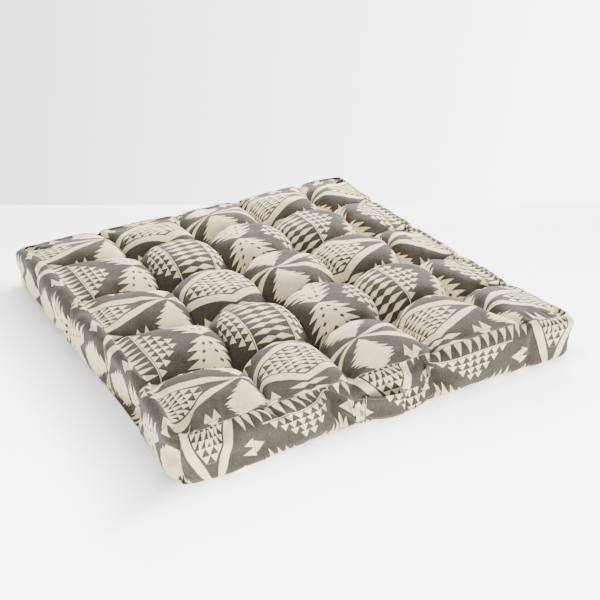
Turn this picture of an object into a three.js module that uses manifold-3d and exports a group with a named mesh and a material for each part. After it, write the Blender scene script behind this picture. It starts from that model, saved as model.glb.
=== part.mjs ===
// A square tufted floor cushion: two quilted panels, four border strips, a fibre filling,
// sixteen twine ties and a cloth strap handle on the front. Millimetres, +Z up, the origin
// on the floor under the middle of the cushion, the handle towards -Y.
import * as THREE from "three";
import { mergeVertices } from "three/addons/utils/BufferGeometryUtils.js";
import Module from "manifold-3d";

const wasm = await Module();
wasm.setup();

// ---- cover and filling ------------------------------------------------------------------
const SEAM_SIDE = 742; // side of the square that the two panel seams follow
const CORNER_RADIUS = 26; // rounding of that square at its corners
const PUFFS = 5; // puffs along each side
const TUFT_PITCH = 148; // distance between neighbouring tufts
const TUFTS_ASIDE = 24; // the hand-tied tufts sit this far to the right of the middle
const TUFTS_BACK = 6; // and this far behind it
const CLOTH = 1.5; // thickness of the woven cover
const GAP = 0.3; // clearance between pieces that touch
const FILL_GAP = 0.5; // clearance between the filling and the inside of the cover

// ---- heights above the floor ------------------------------------------------------------
const SEAM_BOTTOM = 9; // bottom seam
const BORDER_HEIGHT = 84; // bottom seam to top seam
const CROWN = 10; // how far the middle of a puff stands above the top seam
const TUFT_DEPTH = 61; // how far a tie pulls the top panel below the crown of a puff
const TUFT_LIFT = 17; // how far a tie lifts the bottom panel off the floor
const BORDER_BULGE = 10; // how far a border strip stands out past its seams

// ---- twine and thread -------------------------------------------------------------------
const TWINE_RADIUS = 1.6; // the twine that goes through the cushion
const STITCH_RADIUS = 4.5; // the crossed stitch that holds the top panel down
const KNOT_RADIUS = 5; // the knot that holds the bottom panel up
const STITCH_HEIGHT = 2; // height of the stitch and of the knot at their rims
const TIE_CLEARANCE = 0.3; // between the twine and the hole it goes through
const THREAD_RADIUS = 0.6; // sewing thread of the seams

// ---- strap handle -----------------------------------------------------------------------
const STRAP_LENGTH = 160; // along the front, with both sewn ends
const STRAP_WIDTH = 44; // height of the strap as it hangs
const STRAP_CLOTH = 3; // folded cloth, four layers pressed together
const STRAP_END = 15; // length of each sewn end
const STRAP_BOW = 19; // how far the middle stands out from the sewn ends
const STRAP_TOP = 66; // height of the strap's upper edge
const TACK_WIDTH = 4; // bar tack of thread across a sewn end
const TACK_THREAD = 1.2; // how far the tack stands up from the strap
const TACK_MARGIN = 3; // from the tack to the strap's edges

// ---- fineness of the surfaces -----------------------------------------------------------
const STATIONS = [0, 0.14, 0.5, 0.86]; // grid lines of a puff, as shares of its width
const BORDER_ROWS = 5;
const STRAP_STEPS = 12;
const ROUND_SIDES = 6; // sides of the twine and its hole
const THREAD_SIDES = 4;

// ---- shapes of the puffs, the border and the strap ---------------------------------------
const PUFF_FULLNESS = 0.4; // below 1 makes a puff's crown flatter and its sides steeper
const BORDER_FULLNESS = 0.8; // the same for the bulge of a border
const HOLLOW_STEEPNESS = 1.45; // how quickly the hollow under a tie comes down to the floor
const KNOT_TAPER = 0.7; // radius of a knot's end over that of its middle
const STRAP_FLATNESS = 3; // how straight the middle of the strap runs
const STRAP_TURN_IN = 1.5; // how softly the strap meets its sewn ends
const SEAM_MARGIN = 2.4; // cloth left past the stitches at the end of a seam

// ---- worked out from the values above ---------------------------------------------------
const SEAM_TOP = SEAM_BOTTOM + BORDER_HEIGHT;
const PUFF_TOP = SEAM_TOP + CROWN;
const HOLE_LENGTH = 3 * PUFF_TOP; // long enough to pass through the whole cushion
const TUFT_TOP = PUFF_TOP - TUFT_DEPTH;
const HALF_SIDE = SEAM_SIDE / 2;
const TUFTS = PUFFS - 1; // tufts along each side
const ACROSS = puffEdges(TUFTS_ASIDE); // x of one seam, the tufts and the other seam
const ALONG = puffEdges(TUFTS_BACK); // the same in y

// ---- looks ------------------------------------------------------------------------------
const WOVEN = { color: 0x9b9284, roughness: 0.92, metalness: 0 };
const FIBRE = { color: 0xe9e4d8, roughness: 1, metalness: 0 };
const TWINE = { color: 0x9a6f4c, roughness: 0.8, metalness: 0 };
const THREAD = { color: 0xcfc6b4, roughness: 0.75, metalness: 0 };

const cushion = new THREE.Group();

function addPiece(name, geometry, look, place = [0, 0, 0]) {
  const piece = new THREE.Mesh(geometry, new THREE.MeshStandardMaterial(look));
  piece.name = name;
  piece.position.set(...place);
  cushion.add(piece);
  return piece;
}

// ---- closed surfaces --------------------------------------------------------------------

// A closed body between two grids of points. front and back give the point at a row and a
// column, and front faces out where rows x columns does. sides holds functions like them that
// give the loops of points between the rim of the front and the rim of the back.
function slab(rows, columns, front, back, sides = []) {
  const points = [];
  const triangles = [];
  const wide = columns + 1;
  const faceCount = (rows + 1) * wide;
  for (const face of [front, back]) {
    for (let i = 0; i <= rows; i++) {
      for (let j = 0; j <= columns; j++) points.push(face(i, j));
    }
  }
  for (let i = 0; i < rows; i++) {
    for (let j = 0; j < columns; j++) {
      const a = i * wide + j;
      const b = a + wide;
      const under = a + faceCount;
      const beyond = b + faceCount;
      triangles.push([a, b, b + 1], [a, b + 1, a + 1]);
      triangles.push([under, beyond + 1, beyond], [under, under + 1, beyond + 1]);
    }
  }
  const rim = rimOf(rows, columns);
  let loop = rim.map(([i, j]) => i * wide + j);
  for (const side of sides) {
    const next = rim.map((_, k) => points.length + k);
    rim.forEach(([i, j]) => points.push(side(i, j)));
    joinLoops(triangles, loop, next);
    loop = next;
  }
  const last = rim.map(([i, j]) => faceCount + i * wide + j);
  joinLoops(triangles, loop, last);
  return closedGeometry(points, triangles);
}

// The places round the edge of a grid, in order.
function rimOf(rows, columns) {
  const rim = [];
  for (let j = 0; j < columns; j++) rim.push([0, j]);
  for (let i = 0; i < rows; i++) rim.push([i, columns]);
  for (let j = columns; j > 0; j--) rim.push([rows, j]);
  for (let i = rows; i > 0; i--) rim.push([i, 0]);
  return rim;
}

function joinLoops(triangles, upper, lower) {
  upper.forEach((corner, k) => {
    const n = (k + 1) % upper.length;
    triangles.push([corner, upper[n], lower[n]], [corner, lower[n], lower[k]]);
  });
}

function closedGeometry(points, triangles) {
  const geometry = new THREE.BufferGeometry();
  geometry.setAttribute("position", new THREE.Float32BufferAttribute(points.flat(), 3));
  geometry.setIndex(triangles.flat());
  geometry.computeVertexNormals();
  return geometry;
}

// A thread along a row of points, joined up into a ring if it is closed.
function threadAlong(run, closed) {
  const points = [];
  const triangles = [];
  const last = run.length - 1;
  run.forEach((place, k) => {
    const before = run[k > 0 ? k - 1 : closed ? last : 0];
    const after = run[k < last ? k + 1 : closed ? 0 : last];
    const along = after.clone().sub(before).normalize();
    const upright = new THREE.Vector3(0, 0, 1);
    const across = Math.abs(along.z) > 0.7 ? new THREE.Vector3(place.y, -place.x, 0) : upright;
    const side = new THREE.Vector3().crossVectors(along, across).normalize();
    const rise = new THREE.Vector3().crossVectors(along, side);
    for (let s = 0; s < THREAD_SIDES; s++) {
      const turn = (2 * Math.PI * s) / THREAD_SIDES;
      const spot = place.clone().addScaledVector(side, THREAD_RADIUS * Math.cos(turn));
      points.push(spot.addScaledVector(rise, THREAD_RADIUS * Math.sin(turn)).toArray());
    }
  });
  for (let k = 0; k < (closed ? run.length : last); k++) {
    const ring = k * THREAD_SIDES;
    const next = ((k + 1) % run.length) * THREAD_SIDES;
    for (let s = 0; s < THREAD_SIDES; s++) {
      const t = (s + 1) % THREAD_SIDES;
      triangles.push([ring + s, ring + t, next + t], [ring + s, next + t, next + s]);
    }
  }
  if (!closed) {
    const end = last * THREAD_SIDES;
    for (let s = 1; s < THREAD_SIDES - 1; s++) {
      triangles.push([0, s + 1, s], [end, end + s, end + s + 1]);
    }
  }
  return closedGeometry(points, triangles);
}

function toManifold(geometry) {
  const bare = geometry.clone();
  bare.deleteAttribute("normal");
  bare.deleteAttribute("uv");
  const merged = mergeVertices(bare, 1e-4);
  const vertProperties = new Float32Array(merged.attributes.position.array);
  const triVerts = new Uint32Array(merged.index.array);
  return new wasm.Manifold(new wasm.Mesh({ numProp: 3, vertProperties, triVerts }));
}

function fromManifold(solid) {
  const { vertProperties, triVerts } = solid.getMesh();
  const geometry = new THREE.BufferGeometry();
  geometry.setAttribute("position", new THREE.Float32BufferAttribute(vertProperties, 3));
  geometry.setIndex([...triVerts]);
  geometry.computeVertexNormals();
  return geometry;
}

// ---- the quilted shape ------------------------------------------------------------------

function puffEdges(shift) {
  const tufts = Array.from({ length: TUFTS }, (_, k) => k - (TUFTS - 1) / 2);
  return [-HALF_SIDE, ...tufts.map((k) => k * TUFT_PITCH + shift), HALF_SIDE];
}

// Each puff has the same few grid lines, closer together beside its creases.
function gridLines(edges) {
  const lines = [];
  for (let puff = 0; puff < PUFFS; puff++) {
    const width = edges[puff + 1] - edges[puff];
    for (const share of STATIONS) lines.push(edges[puff] + share * width);
  }
  return [...lines, HALF_SIDE];
}

const LINES_ACROSS = gridLines(ACROSS);
const LINES_ALONG = gridLines(ALONG);
const CELLS = LINES_ACROSS.length - 1;

// The place of grid line i across and j along, with the corners of the square rounded, and
// the direction that faces away from the cushion there.
function planPlace(i, j) {
  const x = LINES_ACROSS[i];
  const y = LINES_ALONG[j];
  const straight = HALF_SIDE - CORNER_RADIUS;
  const a = Math.abs(x) - straight;
  const b = Math.abs(y) - straight;
  if (a <= 0 || b <= 0) {
    const away = Math.abs(x) > Math.abs(y) ? [Math.sign(x), 0] : [0, Math.sign(y)];
    return { x, y, away };
  }
  const reach = Math.max(a, b);
  const angle = a >= b ? (Math.PI / 4) * (b / a) : (Math.PI / 4) * (2 - a / b);
  const away = [Math.sign(x) * Math.cos(angle), Math.sign(y) * Math.sin(angle)];
  const middle = [Math.sign(x) * straight, Math.sign(y) * straight];
  return { x: middle[0] + away[0] * reach, y: middle[1] + away[1] * reach, away };
}

// 0 on the line through a row of tufts, 1 midway between two rows and beyond the last one.
function swell(place, edges) {
  const puff = Math.min(Math.max(edges.findLastIndex((edge) => edge <= place), 0), PUFFS - 1);
  const share = (place - edges[puff]) / (edges[puff + 1] - edges[puff]);
  const outside = (puff === 0 && share < 0.5) || (puff === PUFFS - 1 && share > 0.5);
  return outside ? 1 : Math.abs(Math.sin(Math.PI * share)) ** PUFF_FULLNESS;
}

// 0 over the inner puffs, rising from the middle of an outer puff to 1 at the seam.
function nearSeam(place, edges) {
  const [seam, tuft] = place < 0 ? [-HALF_SIDE, edges[1]] : [HALF_SIDE, edges[TUFTS]];
  const middle = (seam + tuft) / 2;
  return Math.min(Math.max((place - middle) / (seam - middle), 0), 1);
}

function towardsSeam(x, y) {
  return Math.max(nearSeam(x, ACROSS), nearSeam(y, ALONG));
}

// How full the cushion is at a place: 0 at a tuft, 1 on the crown of a puff. The creases
// between puffs are half as deep as the tufts and run out before the seam.
function fullness(x, y) {
  const fade = 1 - towardsSeam(x, y);
  const across = 1 - (1 - swell(x, ACROSS)) * fade;
  const along = 1 - (1 - swell(y, ALONG)) * fade;
  return (across + along) / 2;
}

function topHeight(x, y) {
  const quilted = TUFT_TOP + TUFT_DEPTH * fullness(x, y);
  return quilted + (SEAM_TOP + CLOTH - quilted) * towardsSeam(x, y) ** 2;
}

// The weight of the cushion presses the puffs of the bottom panel flat.
function bottomHeight(x, y) {
  const lifted = TUFT_LIFT * (1 - Math.min(1, HOLLOW_STEEPNESS * fullness(x, y)));
  return lifted + (SEAM_BOTTOM - CLOTH - lifted) * towardsSeam(x, y) ** 2;
}

// A sheet over the grid, `offset` above a height, with its rim `inset` in from the seam.
function sheet(height, offset, inset = 0) {
  return (i, j) => {
    const { x, y, away } = planPlace(i, j);
    const atRim = [0, CELLS].includes(i) || [0, CELLS].includes(j);
    const out = atRim ? -inset : 0;
    return [x + away[0] * out, y + away[1] * out, height(LINES_ACROSS[i], LINES_ALONG[j]) + offset];
  };
}

// ---- border -----------------------------------------------------------------------------

const BORDER_LOW = SEAM_BOTTOM + GAP;
const BORDER_HIGH = SEAM_TOP - GAP;

function borderRowHeight(row) {
  return BORDER_LOW + ((BORDER_HIGH - BORDER_LOW) * row) / BORDER_ROWS;
}

function borderRowOut(row) {
  const share = Math.min(Math.max(row / BORDER_ROWS, 0), 1);
  return BORDER_BULGE * Math.sin(Math.PI * share) ** BORDER_FULLNESS;
}

// How far the outer face of the border stands out past the seams at a height.
function borderOut(z) {
  const row = ((z - BORDER_LOW) * BORDER_ROWS) / (BORDER_HIGH - BORDER_LOW);
  const below = Math.floor(row);
  const share = row - below;
  return borderRowOut(below) * (1 - share) + borderRowOut(below + 1) * share;
}

// The heights of the rows of a band that lies on the border between two heights, with one
// at each place where the border bends.
function bandRows(low, high) {
  const rows = [low];
  for (let row = 0; row <= BORDER_ROWS; row++) {
    const z = borderRowHeight(row);
    if (z > low && z < high) rows.push(z);
  }
  return [...rows, high];
}

// One strip over a row of grid places. Its ends turn half of each corner and stop just short
// of the strips beside it.
function borderStrip(run) {
  const last = run.length - 1;
  const face = (inset) => (k, row) => {
    const { x, y, away } = planPlace(...run[k]);
    const out = borderRowOut(row) - inset;
    const end = k === 0 ? 1 : k === last ? -1 : 0;
    const short = (end * GAP) / 2;
    const px = x + away[0] * out - away[1] * short;
    const py = y + away[1] * out + away[0] * short;
    return [px, py, borderRowHeight(row)];
  };
  return slab(last, BORDER_ROWS, face(0), face(CLOTH));
}

function addBorder() {
  const steps = Array.from({ length: CELLS + 1 }, (_, k) => k);
  const runs = {
    front: steps.map((k) => [k, 0]),
    right: steps.map((k) => [CELLS, k]),
    back: steps.map((k) => [CELLS - k, CELLS]),
    left: steps.map((k) => [0, CELLS - k]),
  };
  for (const [side, run] of Object.entries(runs)) {
    addPiece(`border_${side}`, borderStrip(run), WOVEN);
  }
}

// ---- ties -------------------------------------------------------------------------------

function tuftPlaces() {
  const places = [];
  for (let row = 1; row <= TUFTS; row++) {
    for (let column = 1; column <= TUFTS; column++) {
      places.push({ name: `tuft_tie_${column}_${row}`, x: ACROSS[column], y: ALONG[row] });
    }
  }
  return places;
}

// How steeply a panel climbs out of a tuft, at its steepest.
function tuftSlope(height) {
  const step = STATIONS[1] * TUFT_PITCH;
  const [x, y] = [ACROSS[1], ALONG[1]];
  const climb = height(x + step, y + step) - height(x, y);
  return Math.abs(climb) / (step * Math.SQRT2);
}

// Turned about the twine: the knot under the bottom panel, the twine, the stitch on top.
function tie() {
  const hole = TWINE_RADIUS + TIE_CLEARANCE;
  const steepTop = tuftSlope(topHeight);
  const steepBottom = tuftSlope(bottomHeight);
  const stitchFoot = TUFT_TOP + hole * steepTop + GAP;
  const stitchRim = stitchFoot + (STITCH_RADIUS - TWINE_RADIUS) * steepTop;
  const knotFoot = TUFT_LIFT - hole * steepBottom - GAP;
  const knotRim = knotFoot - (KNOT_RADIUS - TWINE_RADIUS) * steepBottom;
  const outline = [
    [0, knotRim - STITCH_HEIGHT],
    [KNOT_RADIUS * KNOT_TAPER, knotRim - STITCH_HEIGHT],
    [KNOT_RADIUS, knotRim],
    [TWINE_RADIUS, knotFoot],
    [TWINE_RADIUS, stitchFoot],
    [STITCH_RADIUS, stitchRim],
    [STITCH_RADIUS * KNOT_TAPER, stitchRim + STITCH_HEIGHT],
    [0, stitchRim + STITCH_HEIGHT],
  ];
  const turned = new THREE.LatheGeometry(
    outline.map(([r, z]) => new THREE.Vector2(r, z)),
    ROUND_SIDES,
  );
  return turned.rotateX(Math.PI / 2);
}

function pierced(geometry) {
  let solid = toManifold(geometry);
  for (const { x, y } of tuftPlaces()) {
    const radius = TWINE_RADIUS + TIE_CLEARANCE;
    const hole = new THREE.CylinderGeometry(radius, radius, HOLE_LENGTH, ROUND_SIDES);
    hole.rotateX(Math.PI / 2);
    hole.translate(x, y, 0);
    solid = solid.subtract(toManifold(hole));
  }
  return fromManifold(solid);
}

function addTies() {
  for (const { name, x, y } of tuftPlaces()) addPiece(name, tie(), TWINE, [x, y, 0]);
}

// ---- panels and filling -----------------------------------------------------------------

function addPanels() {
  const top = slab(CELLS, CELLS, sheet(topHeight, 0), sheet(topHeight, -CLOTH));
  const bottom = slab(CELLS, CELLS, sheet(bottomHeight, CLOTH), sheet(bottomHeight, 0));
  addPiece("top_panel", pierced(top), WOVEN);
  addPiece("bottom_panel", pierced(bottom), WOVEN);
}

// The filling pushes the border out, so its sides follow the strips.
function addFilling() {
  const inset = CLOTH + FILL_GAP;
  const sides = [];
  for (let row = BORDER_ROWS - 1; row > 0; row--) {
    sides.push((i, j) => {
      const { x, y, away } = planPlace(i, j);
      const out = borderRowOut(row) - inset;
      return [x + away[0] * out, y + away[1] * out, borderRowHeight(row)];
    });
  }
  const top = sheet(topHeight, -inset, inset);
  const under = sheet(bottomHeight, inset, inset);
  addPiece("fibre_filling", pierced(slab(CELLS, CELLS, top, under, sides)), FIBRE);
}

// ---- seams ------------------------------------------------------------------------------

// A ring of stitching outside the seam of a panel, at a height.
function panelSeam(z) {
  const run = rimOf(CELLS, CELLS).map(([i, j]) => {
    const { x, y, away } = planPlace(i, j);
    const out = THREAD_RADIUS + GAP;
    return new THREE.Vector3(x + away[0] * out, y + away[1] * out, z);
  });
  return threadAlong(run, true);
}

// The upright seam at one corner, where two strips meet.
function cornerSeam(i, j) {
  const { x, y, away } = planPlace(i, j);
  const margin = SEAM_MARGIN;
  const run = bandRows(BORDER_LOW + margin, BORDER_HIGH - margin).map((z) => {
    const out = borderOut(z) + THREAD_RADIUS + GAP;
    return new THREE.Vector3(x + away[0] * out, y + away[1] * out, z);
  });
  return threadAlong(run, false);
}

function addSeams() {
  addPiece("seam_top", panelSeam(SEAM_TOP + THREAD_RADIUS), THREAD);
  addPiece("seam_bottom", panelSeam(SEAM_BOTTOM - THREAD_RADIUS), THREAD);
  addPiece("seam_corner_front_left", cornerSeam(0, 0), THREAD);
  addPiece("seam_corner_front_right", cornerSeam(CELLS, 0), THREAD);
  addPiece("seam_corner_back_right", cornerSeam(CELLS, CELLS), THREAD);
  addPiece("seam_corner_back_left", cornerSeam(0, CELLS), THREAD);
}

// ---- strap handle -----------------------------------------------------------------------

const LOOP_HALF = STRAP_LENGTH / 2 - STRAP_END; // middle of the strap to a sewn end

// A band over the front border: its inner face lies `lift` off the border at a place along
// it, and its heights run between low and high.
function band(places, low, high, lift, thickness) {
  const rows = bandRows(low, high);
  const face = (raise) => (i, row) => {
    const out = borderOut(rows[row]) + lift(places[i]) + raise;
    return [places[i], -HALF_SIDE - out, rows[row]];
  };
  return slab(places.length - 1, rows.length - 1, face(thickness), face(0));
}

function spread(from, to, steps) {
  return Array.from({ length: steps + 1 }, (_, k) => from + ((to - from) * k) / steps);
}

function strapBow(x) {
  return GAP + STRAP_BOW * (1 - Math.abs(x / LOOP_HALF) ** STRAP_FLATNESS) ** STRAP_TURN_IN;
}

function addHandle() {
  const low = STRAP_TOP - STRAP_WIDTH;
  const end = LOOP_HALF - GAP / 2;
  const loop = spread(-end, end, STRAP_STEPS);
  addPiece("handle_strap", band(loop, low, STRAP_TOP, strapBow, STRAP_CLOTH), WOVEN);
  for (const [side, sign] of [["left", -1], ["right", 1]]) {
    const edges = [sign * (LOOP_HALF + GAP / 2), (sign * STRAP_LENGTH) / 2];
    const places = edges.sort((a, b) => a - b);
    const sewnEnd = band(places, low, STRAP_TOP, () => GAP, STRAP_CLOTH);
    addPiece(`handle_end_${side}`, sewnEnd, WOVEN);
    const middle = (places[0] + places[1]) / 2;
    const bar = [middle - TACK_WIDTH / 2, middle + TACK_WIDTH / 2];
    const lift = () => STRAP_CLOTH + 2 * GAP;
    const tack = band(bar, low + TACK_MARGIN, STRAP_TOP - TACK_MARGIN, lift, TACK_THREAD);
    addPiece(`handle_tack_${side}`, tack, THREAD);
  }
}

addPanels();
addBorder();
addFilling();
addTies();
addSeams();
addHandle();

export default cushion;
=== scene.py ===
import math

import bpy
import numpy as np
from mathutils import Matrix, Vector


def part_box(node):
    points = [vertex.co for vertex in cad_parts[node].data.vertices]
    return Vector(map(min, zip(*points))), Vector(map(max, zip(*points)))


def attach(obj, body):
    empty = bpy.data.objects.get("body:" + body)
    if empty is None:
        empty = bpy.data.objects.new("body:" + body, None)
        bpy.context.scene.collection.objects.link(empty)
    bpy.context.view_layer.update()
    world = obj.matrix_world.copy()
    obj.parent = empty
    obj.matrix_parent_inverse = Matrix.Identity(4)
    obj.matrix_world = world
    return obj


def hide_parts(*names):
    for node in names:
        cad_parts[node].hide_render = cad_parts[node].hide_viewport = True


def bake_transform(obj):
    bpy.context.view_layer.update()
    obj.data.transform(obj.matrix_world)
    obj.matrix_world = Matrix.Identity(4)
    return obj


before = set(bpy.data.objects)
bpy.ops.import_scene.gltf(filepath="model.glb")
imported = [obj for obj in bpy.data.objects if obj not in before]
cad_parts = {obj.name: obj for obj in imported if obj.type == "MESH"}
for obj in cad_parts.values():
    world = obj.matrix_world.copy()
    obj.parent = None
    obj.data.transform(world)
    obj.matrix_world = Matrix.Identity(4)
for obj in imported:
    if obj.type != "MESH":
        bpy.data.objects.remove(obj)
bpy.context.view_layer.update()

# ---- 1. Top panel ----------------------------------------
# One square of heavy woven cotton, sewn to the borders all round and drawn down by sixteen
# twine ties into five puffs a side. It is cut larger than the square it covers, so the
# filling lifts it into puffs with sharp creases from tie to tie.
MM = 0.001
PUFFS = 5  # puffs along each side
CLOTH = 1.5 * MM  # thickness of the woven cover
panel_low, panel_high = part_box("top_panel")
HALF_SIDE = panel_high.x
CORNER_RADIUS = 24 * MM  # of the seams, seen from above
TOP_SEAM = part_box("border_front")[1].z
LOW_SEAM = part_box("border_front")[0].z
PIT_TOP = panel_low.z + CLOTH  # outer face of the top panel at a tie
PIT_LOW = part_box("bottom_panel")[1].z - CLOTH  # outer face of the bottom panel at a tie


def tie_middle(column, row):
    low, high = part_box(f"tuft_tie_{column}_{row}")
    return (low + high) / 2


tie_columns = [tie_middle(column, 1).x for column in range(1, PUFFS)]
tie_rows = [tie_middle(1, row).y for row in range(1, PUFFS)]
across_edges = np.array([-HALF_SIDE, *tie_columns, HALF_SIDE])
along_edges = np.array([-HALF_SIDE, *tie_rows, HALF_SIDE])

# Where the creases from the outer ties meet the seams, measured from the ties' own lines.
CREASE_LEAN = {
    "front": (-34, -30, -18, 18),
    "back": (-22, 18, 5, 14),
    "left": (-6, 3, -4, 8),
    "right": (5, -6, 4, 10),
}

CELLS = 28  # cells across a puff
LINES = PUFFS * CELLS  # cells across a panel


def grid_lines(edges):
    spans = [np.linspace(a, b, CELLS, endpoint=False) for a, b in zip(edges, edges[1:])]
    return np.append(np.concatenate(spans), edges[-1])


def leaning(edges, side):
    """The grid lines where they meet one seam, drawn aside with the creases."""
    aside = np.array([0, *CREASE_LEAN[side], 0]) * MM
    return grid_lines(edges + aside)


def round_corner(x, y):
    """Bends the corner of the square of seams into an arc, with the direction that faces out."""
    straight = HALF_SIDE - CORNER_RADIUS
    a = np.maximum(abs(x) - straight, 0)
    b = np.maximum(abs(y) - straight, 0)
    reach = np.maximum(a, b)
    small = np.minimum(a, b) / np.maximum(reach, 1e-9)
    angle = np.where(a >= b, small, 2 - small) * math.pi / 4
    both = (a > 0) & (b > 0)
    out_x = np.where(both, np.cos(angle), a >= b)
    out_y = np.where(both, np.sin(angle), a < b)
    px = np.where(both, straight + reach * out_x, abs(x)) * np.sign(x)
    py = np.where(both, straight + reach * out_y, abs(y)) * np.sign(y)
    return px, py, out_x * np.sign(x), out_y * np.sign(y)


def wander(count, step, seed, size):
    """A smooth run of small random numbers, one for each place along a seam."""
    rough = np.random.default_rng(seed).normal(0, 1, count // step + 4)
    return size * np.interp(np.arange(count) / step, np.arange(len(rough)), rough)


# How cloth settles: each cover piece is held along its seams and ties and pushed out by the
# filling until it hangs in balance. The cloth hardly stretches, shears a little, and resists
# a sharp fold. The entries are a move along the grid and a stiffness.
WEAVE = [((1, 0), 0.9), ((0, 1), 0.9), ((1, 1), 0.2), ((1, -1), 0.2)]
FOLD = [((4, 0), 0.25), ((0, 4), 0.25)]
SHARP_FOLD, GENTLE_FOLD = 0.3, 0.97  # how short those four cells may close up
SPEED_KEPT = 0.93  # from one step of the settling to the next


def paired(count, step, half):
    """Places along a grid that pair with the one `step` on, with no place used twice."""
    first = np.arange(count - step)
    return first[(first // step) % 2 == half]


def draw_together(sheet, length, move, stiffness, squeeze_only):
    """Moves neighbours towards the length of cloth between them."""
    down, over = move
    rows = np.arange(sheet.shape[0] - down)
    columns = np.arange(sheet.shape[1] - abs(over)) + max(-over, 0)
    for half in (0, 1):
        if down:
            rows = paired(sheet.shape[0], down, half)
        else:
            columns = paired(sheet.shape[1], over, half)
        here = np.ix_(rows, columns)
        there = np.ix_(rows + down, columns + over)
        gap = sheet[there] - sheet[here]
        size = np.sqrt((gap * gap).sum(-1)) + 1e-12
        error = (size - length[here]) / size
        if squeeze_only:
            error = np.minimum(error, 0)
        shift = (0.5 * stiffness * error)[..., None] * gap
        sheet[here] += shift
        sheet[there] -= shift


def normals(points):
    """The direction each point of a sheet faces."""
    normal = np.cross(np.gradient(points, axis=0), np.gradient(points, axis=1))
    return normal / (np.linalg.norm(normal, axis=-1, keepdims=True) + 1e-12)


def sewn_edges(points):
    """Which points of a sheet lie on its four edges."""
    held = np.zeros(points.shape[:2], bool)
    held[[0, -1]] = held[:, [0, -1]] = True
    return held


def ruffled(points, cloth, seed, size):
    """The sheet with faint wrinkles of many directions, as cloth keeps from being handled."""
    chance = np.random.default_rng(seed)
    height = np.zeros(points.shape[:2])
    for _ in range(14):
        heading, wave = chance.uniform(0, math.pi), chance.uniform(16, 60) * MM
        run = cloth[..., 0] * math.cos(heading) + cloth[..., 1] * math.sin(heading)
        height += np.sin(2 * math.pi * run / wave + chance.uniform(0, 6)) * wave / (60 * MM)
    return points + normals(points) * (size * ~sewn_edges(points) * height)[..., None]


def cloth_length(cut, move):
    down, over = move
    moved = np.roll(cut, (-down, -over), (0, 1))
    return np.sqrt(((moved - cut) ** 2).sum(-1))


def fold_share(shape, move):
    """How far the cloth may close on itself: sharply over a crease, gently elsewhere."""
    down, over = move
    line = np.arange(shape[0])[:, None] if down else np.arange(shape[1])[None, :]
    step = max(down, over)
    before_crease = (-line) % CELLS
    over_crease = (before_crease > 0) & (before_crease < step)
    return np.where(over_crease, SHARP_FOLD, GENTLE_FOLD) * np.ones(shape[:2])


def settle(sheet, cut, held, push, limit, steps):
    """Relaxes a sheet: cut gives its flat cloth, held its sewn points, push the filling."""
    sewn = sheet[held].copy()
    lengths = [(move, k, cloth_length(cut, move), False) for move, k in WEAVE]
    lengths += [(move, k, cloth_length(cut, move) * fold_share(cut.shape, move), True)
                for move, k in FOLD]
    speed = np.zeros_like(sheet)
    for _ in range(steps):
        before = sheet.copy()
        sheet = sheet + SPEED_KEPT * speed + normals(sheet) * push[..., None]
        for move, k, length, squeeze_only in lengths:
            draw_together(sheet, length, move, k, squeeze_only)
        limit(sheet)
        sheet[held] = sewn
        speed = sheet - before
    return sheet


def add_object(name, data):
    added = bpy.data.objects.new(name, data)
    bpy.context.collection.objects.link(added)
    return added


def add_mesh(name, points, faces):
    mesh = bpy.data.meshes.new(name)
    mesh.from_pydata(np.asarray(points).tolist(), [], faces)
    mesh.shade_smooth()
    return add_object(name, mesh)


def grid_faces(rows, columns, start=0, flip=False):
    faces = []
    for i in range(rows - 1):
        for k in range(start + i * columns, start + (i + 1) * columns - 1):
            face = (k, k + columns, k + columns + 1, k + 1)
            faces.append(face[::-1] if flip else face)
    return faces


def add_sheet(name, points, cloth, flip=False, levels=1):
    """A settled sheet as a mesh, with its places on the flat cloth and a layout for baking."""
    rows, columns = points.shape[:2]
    faces = grid_faces(rows, columns, flip=flip)
    piece = add_mesh(name, points.reshape(-1, 3), faces)
    mesh = piece.data
    layout = np.stack(np.meshgrid(
        np.linspace(0.01, 0.99, rows), np.linspace(0.01, 0.99, columns), indexing="ij"), -1)
    corners = np.array([loop.vertex_index for loop in mesh.loops])
    for map_name, places in (("Cloth", cloth), ("OFBake", layout)):
        uv = mesh.uv_layers.new(name=map_name)
        uv.data.foreach_set("uv", places.reshape(-1, 2)[corners].ravel())
    if levels:
        finer = piece.modifiers.new("finer", "SUBSURF")
        finer.levels = finer.render_levels = levels
    return piece


SPARE = 1.10  # length of cloth over the length it spans
SADDLE = 34 * MM  # how far a crease rises between two ties
PIT_FLOOR = 7 * MM  # radius of the cloth drawn flat under a tie
PIT_SLOPE = 1.4  # steepness of the cloth round a tie
SEAM_RISE = 2.5 * MM  # how far a puff lifts the seam between two creases
# How far the border rolls in over the top along each side, and how far the edge and the
# corners sink, all in mm.
ROLL = {"front": 0, "back": 7, "left": 20, "right": 13}
EDGE_SINK = {"front": 0, "back": 20, "left": 4, "right": 30}
CORNER_SINK = ((-1, -1, 3), (1, -1, 5), (1, 1, 7), (-1, 1, 10))
EDGE_FLAT = 20 * MM  # width of the fully sunk edge
CORNER_REACH = 80 * MM
# How far each crease pulls the seam down and in along each side, in mm.
SEAM_DIPS = {
    "front": (7, 16, 21, 10),
    "back": (8, 9, 8, 8),
    "left": (6, 5, 8, 6),
    "right": (7, 6, 6, 8),
}
DIP_HALF_WIDTH = 12 * MM
SIDE_CLEARANCE = 0.4 * MM  # between the walls of two puffs that press together
PRESSURE = 0.06 * MM  # how far the filling pushes the top in one step

x_lines = grid_lines(across_edges)
y_lines = grid_lines(along_edges)
X, Y = np.meshgrid(x_lines, y_lines, indexing="ij")

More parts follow.
